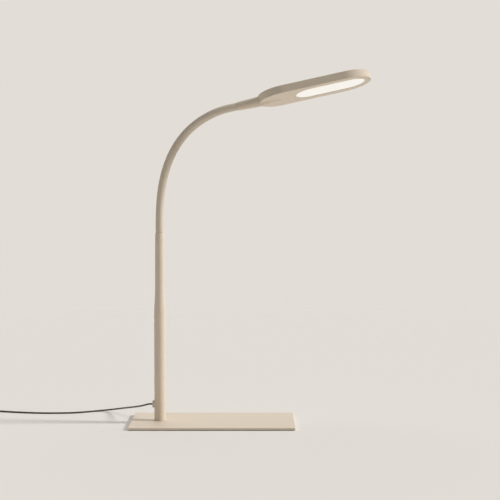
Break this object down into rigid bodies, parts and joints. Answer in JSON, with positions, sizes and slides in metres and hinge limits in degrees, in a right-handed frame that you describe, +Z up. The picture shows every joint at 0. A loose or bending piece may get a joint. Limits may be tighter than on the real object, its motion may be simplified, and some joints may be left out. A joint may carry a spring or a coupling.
{
  "type": "gooseneck desk lamp",
  "caption": "Desk lamp with a flat rectangular base, a stepped tube post, a flexible neck that bends and stays, and a flat oval light head with a push button.",
  "frame": {"origin": "middle of the resting face, on the underside of the base pad", "axes": "+Z up, +X from the post towards the light head, +Y to the back"},
  "size_m": [0.7603, 0.1955, 0.5181],
  "materials": {
    "post_paint": "warm off-white powder coat, matt",
    "neck_paint": "warm off-white paint on a close-wound flexible tube",
    "head_paint": "warm off-white soft-touch paint, fine grain",
    "gland_plastic": "warm off-white moulded plastic",
    "foam": "black foam pad",
    "fastener_steel": "zinc-plated steel",
    "lead_sleeve": "soft sleeve",
    "cast_alloy": "die-cast",
    "opal_diffuser": "opal, lit",
    "white_plastic": "moulded",
    "led_board": "white solder mask on a metal-core board",
    "led_chip": "phosphor",
    "green_board": "glass-fibre board",
    "black_plastic": "moulded",
    "cord_sleeve": "smooth dark brown sleeve",
    "tie_strip": "strap",
    "adapter_plastic": "fine moulded grain",
    "pin_nickel": "nickel-plated"
  },
  "bodies": {
    "stand": {"base_plate": "post_paint", "base_pad": "foam", "foot_insert": "fastener_steel", "foot_screw": "fastener_steel", "locating_pin": "fastener_steel", "lower_post": "post_paint", "cable_gland": "gland_plastic", "post_lead": "lead_sleeve", "reducer_cone": "post_paint", "middle_tube": "post_paint", "neck_collar": "post_paint", "neck_section_01": "neck_paint", "cord": "cord_sleeve", "cord_coil": "cord_sleeve", "coil_ties": "tie_strip", "cord_tail": "cord_sleeve", "adapter_boot": "cord_sleeve", "adapter_body": "adapter_plastic", "plug_pins": "pin_nickel"},
    "neck_2": {"neck_section_02": "neck_paint", "neck_lead_02": "lead_sleeve"},
    "neck_3": {"neck_section_03": "neck_paint", "neck_lead_03": "lead_sleeve"},
    "neck_4": {"neck_section_04": "neck_paint", "neck_lead_04": "lead_sleeve"},
    "neck_5": {"neck_section_05": "neck_paint", "neck_lead_05": "lead_sleeve"},
    "neck_6": {"neck_section_06": "neck_paint", "neck_lead_06": "lead_sleeve"},
    "neck_7": {"neck_section_07": "neck_paint", "neck_lead_07": "lead_sleeve"},
    "neck_8": {"neck_section_08": "neck_paint", "neck_lead_08": "lead_sleeve"},
    "neck_9": {"neck_section_09": "neck_paint", "neck_lead_09": "lead_sleeve"},
    "head": {"neck_section_10": "neck_paint", "neck_lead_10": "lead_sleeve", "ferrule": "post_paint", "neck_clamp": "cast_alloy", "clamp_screws": "fastener_steel", "set_screw": "fastener_steel", "head_lead": "lead_sleeve", "head_shell": "head_paint", "head_cover": "head_paint", "diffuser": "opal_diffuser", "light_tray": "white_plastic", "led_board": "led_board", "leds": "led_chip", "board_screws": "fastener_steel", "driver_board": "green_board", "driver_parts": "black_plastic", "driver_screws": "fastener_steel", "switch_body": "black_plastic"},
    "button": {"switch_plunger": "white_plastic", "push_button": "head_paint"}
  },
  "joints": [
    {"name": "lower_bend", "type": "hinge", "parent": "stand", "child": "neck_2", "pos_m": [-0.078, 0, 0.3052], "axis": [0, 1, 0], "range_deg": [-6, 16]},
    {"name": "side_bend", "type": "hinge", "parent": "neck_2", "child": "neck_3", "pos_m": [-0.07673, 0, 0.32937], "axis": [0.9958, 0, -0.0915], "range_deg": [-15, 15]},
    {"name": "lower_bend_2", "type": "hinge", "parent": "neck_3", "child": "neck_4", "pos_m": [-0.07358, 0, 0.35336], "axis": [0, 1, 0], "range_deg": [-6, 16]},
    {"name": "lower_bend_3", "type": "hinge", "parent": "neck_4", "child": "neck_5", "pos_m": [-0.06772, 0, 0.37684], "axis": [0, 1, 0], "range_deg": [-6, 16]},
    {"name": "side_bend_2", "type": "hinge", "parent": "neck_5", "child": "neck_6", "pos_m": [-0.05846, 0, 0.3992], "axis": [0.887, 0, -0.4617], "range_deg": [-15, 15]},
    {"name": "upper_bend", "type": "hinge", "parent": "neck_6", "child": "neck_7", "pos_m": [-0.04546, 0, 0.41961], "axis": [0, 1, 0], "range_deg": [-15, 12]},
    {"name": "upper_bend_2", "type": "hinge", "parent": "neck_7", "child": "neck_8", "pos_m": [-0.02865, 0, 0.43702], "axis": [0, 1, 0], "range_deg": [-15, 12]},
    {"name": "side_bend_3", "type": "hinge", "parent": "neck_8", "child": "neck_9", "pos_m": [-0.0087, 0, 0.45072], "axis": [0.4848, 0, -0.8746], "range_deg": [-15, 15]},
    {"name": "upper_bend_3", "type": "hinge", "parent": "neck_9", "child": "head", "pos_m": [0.01349, 0, 0.46037], "axis": [0, 1, 0], "range_deg": [-15, 12]},
    {"name": "button_press", "type": "slide", "parent": "head", "child": "button", "axis": [0.2125, -0.1908, -0.9584], "range_m": [0, 0.0008], "stiffness_N_per_m": 400, "springref_m": -0.002}
  ],
  "couplings": [
    {"joint": "lower_bend_2", "follows": "lower_bend", "ratio": 1},
    {"joint": "lower_bend_3", "follows": "lower_bend", "ratio": 1},
    {"joint": "side_bend_2", "follows": "side_bend", "ratio": 1},
    {"joint": "upper_bend_2", "follows": "upper_bend", "ratio": 1},
    {"joint": "side_bend_3", "follows": "side_bend", "ratio": 1},
    {"joint": "upper_bend_3", "follows": "upper_bend", "ratio": 1}
  ]
}
